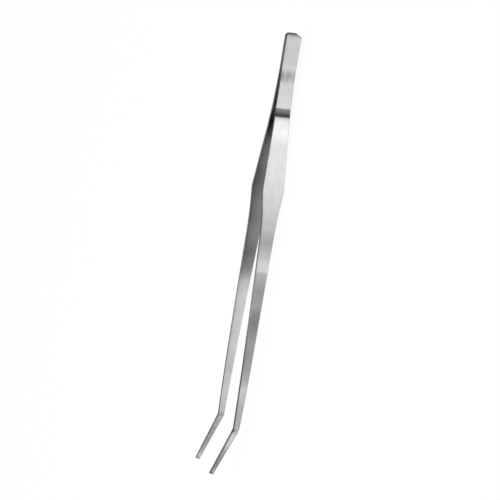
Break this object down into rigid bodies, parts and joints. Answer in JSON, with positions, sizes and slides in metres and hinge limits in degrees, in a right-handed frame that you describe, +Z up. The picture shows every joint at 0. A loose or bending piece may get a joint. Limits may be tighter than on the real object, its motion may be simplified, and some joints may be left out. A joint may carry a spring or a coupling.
{
  "type": "aquascaping tweezers",
  "caption": "Long stainless tweezers: sprung blades welded together at the butt, a swelling grip and slender angled jaws with cross teeth, for planting in an aquarium.",
  "frame": {"origin": "under the middle of the overall length, on the mid-plane between the blades, at the height of the surface that the tool lies on", "axes": "+X from the butt to the tips, +Y the way the front blade opens, +Z up across the width of the blades, the way the jaws are angled"},
  "size_m": [0.27, 0.0284, 0.0192],
  "materials": {
    "blade_steel": "stainless sheet, brushed lengthwise, with deburred edges",
    "weld_steel": "fused stainless, dull"
  },
  "bodies": {
    "butt": {"front_butt": "blade_steel", "rear_butt": "blade_steel", "spot_weld_1": "weld_steel", "spot_weld_2": "weld_steel"},
    "front_arm": {"front_arm": "blade_steel"},
    "rear_arm": {"rear_arm": "blade_steel"}
  },
  "joints": [
    {"name": "front_arm_flex", "type": "hinge", "parent": "butt", "child": "front_arm", "pos_m": [-0.08192, 0.00355, 0.0068], "axis": [0, 0, -1], "range_deg": [0, 3.12], "stiffness_Nm_per_rad": 9},
    {"name": "rear_arm_flex", "type": "hinge", "parent": "butt", "child": "rear_arm", "pos_m": [-0.08192, -0.00355, 0.0068], "axis": [0, 0, 1], "range_deg": [0, 3.12], "stiffness_Nm_per_rad": 9}
  ],
  "couplings": [
    {"joint": "rear_arm_flex", "follows": "front_arm_flex", "ratio": 1}
  ]
}
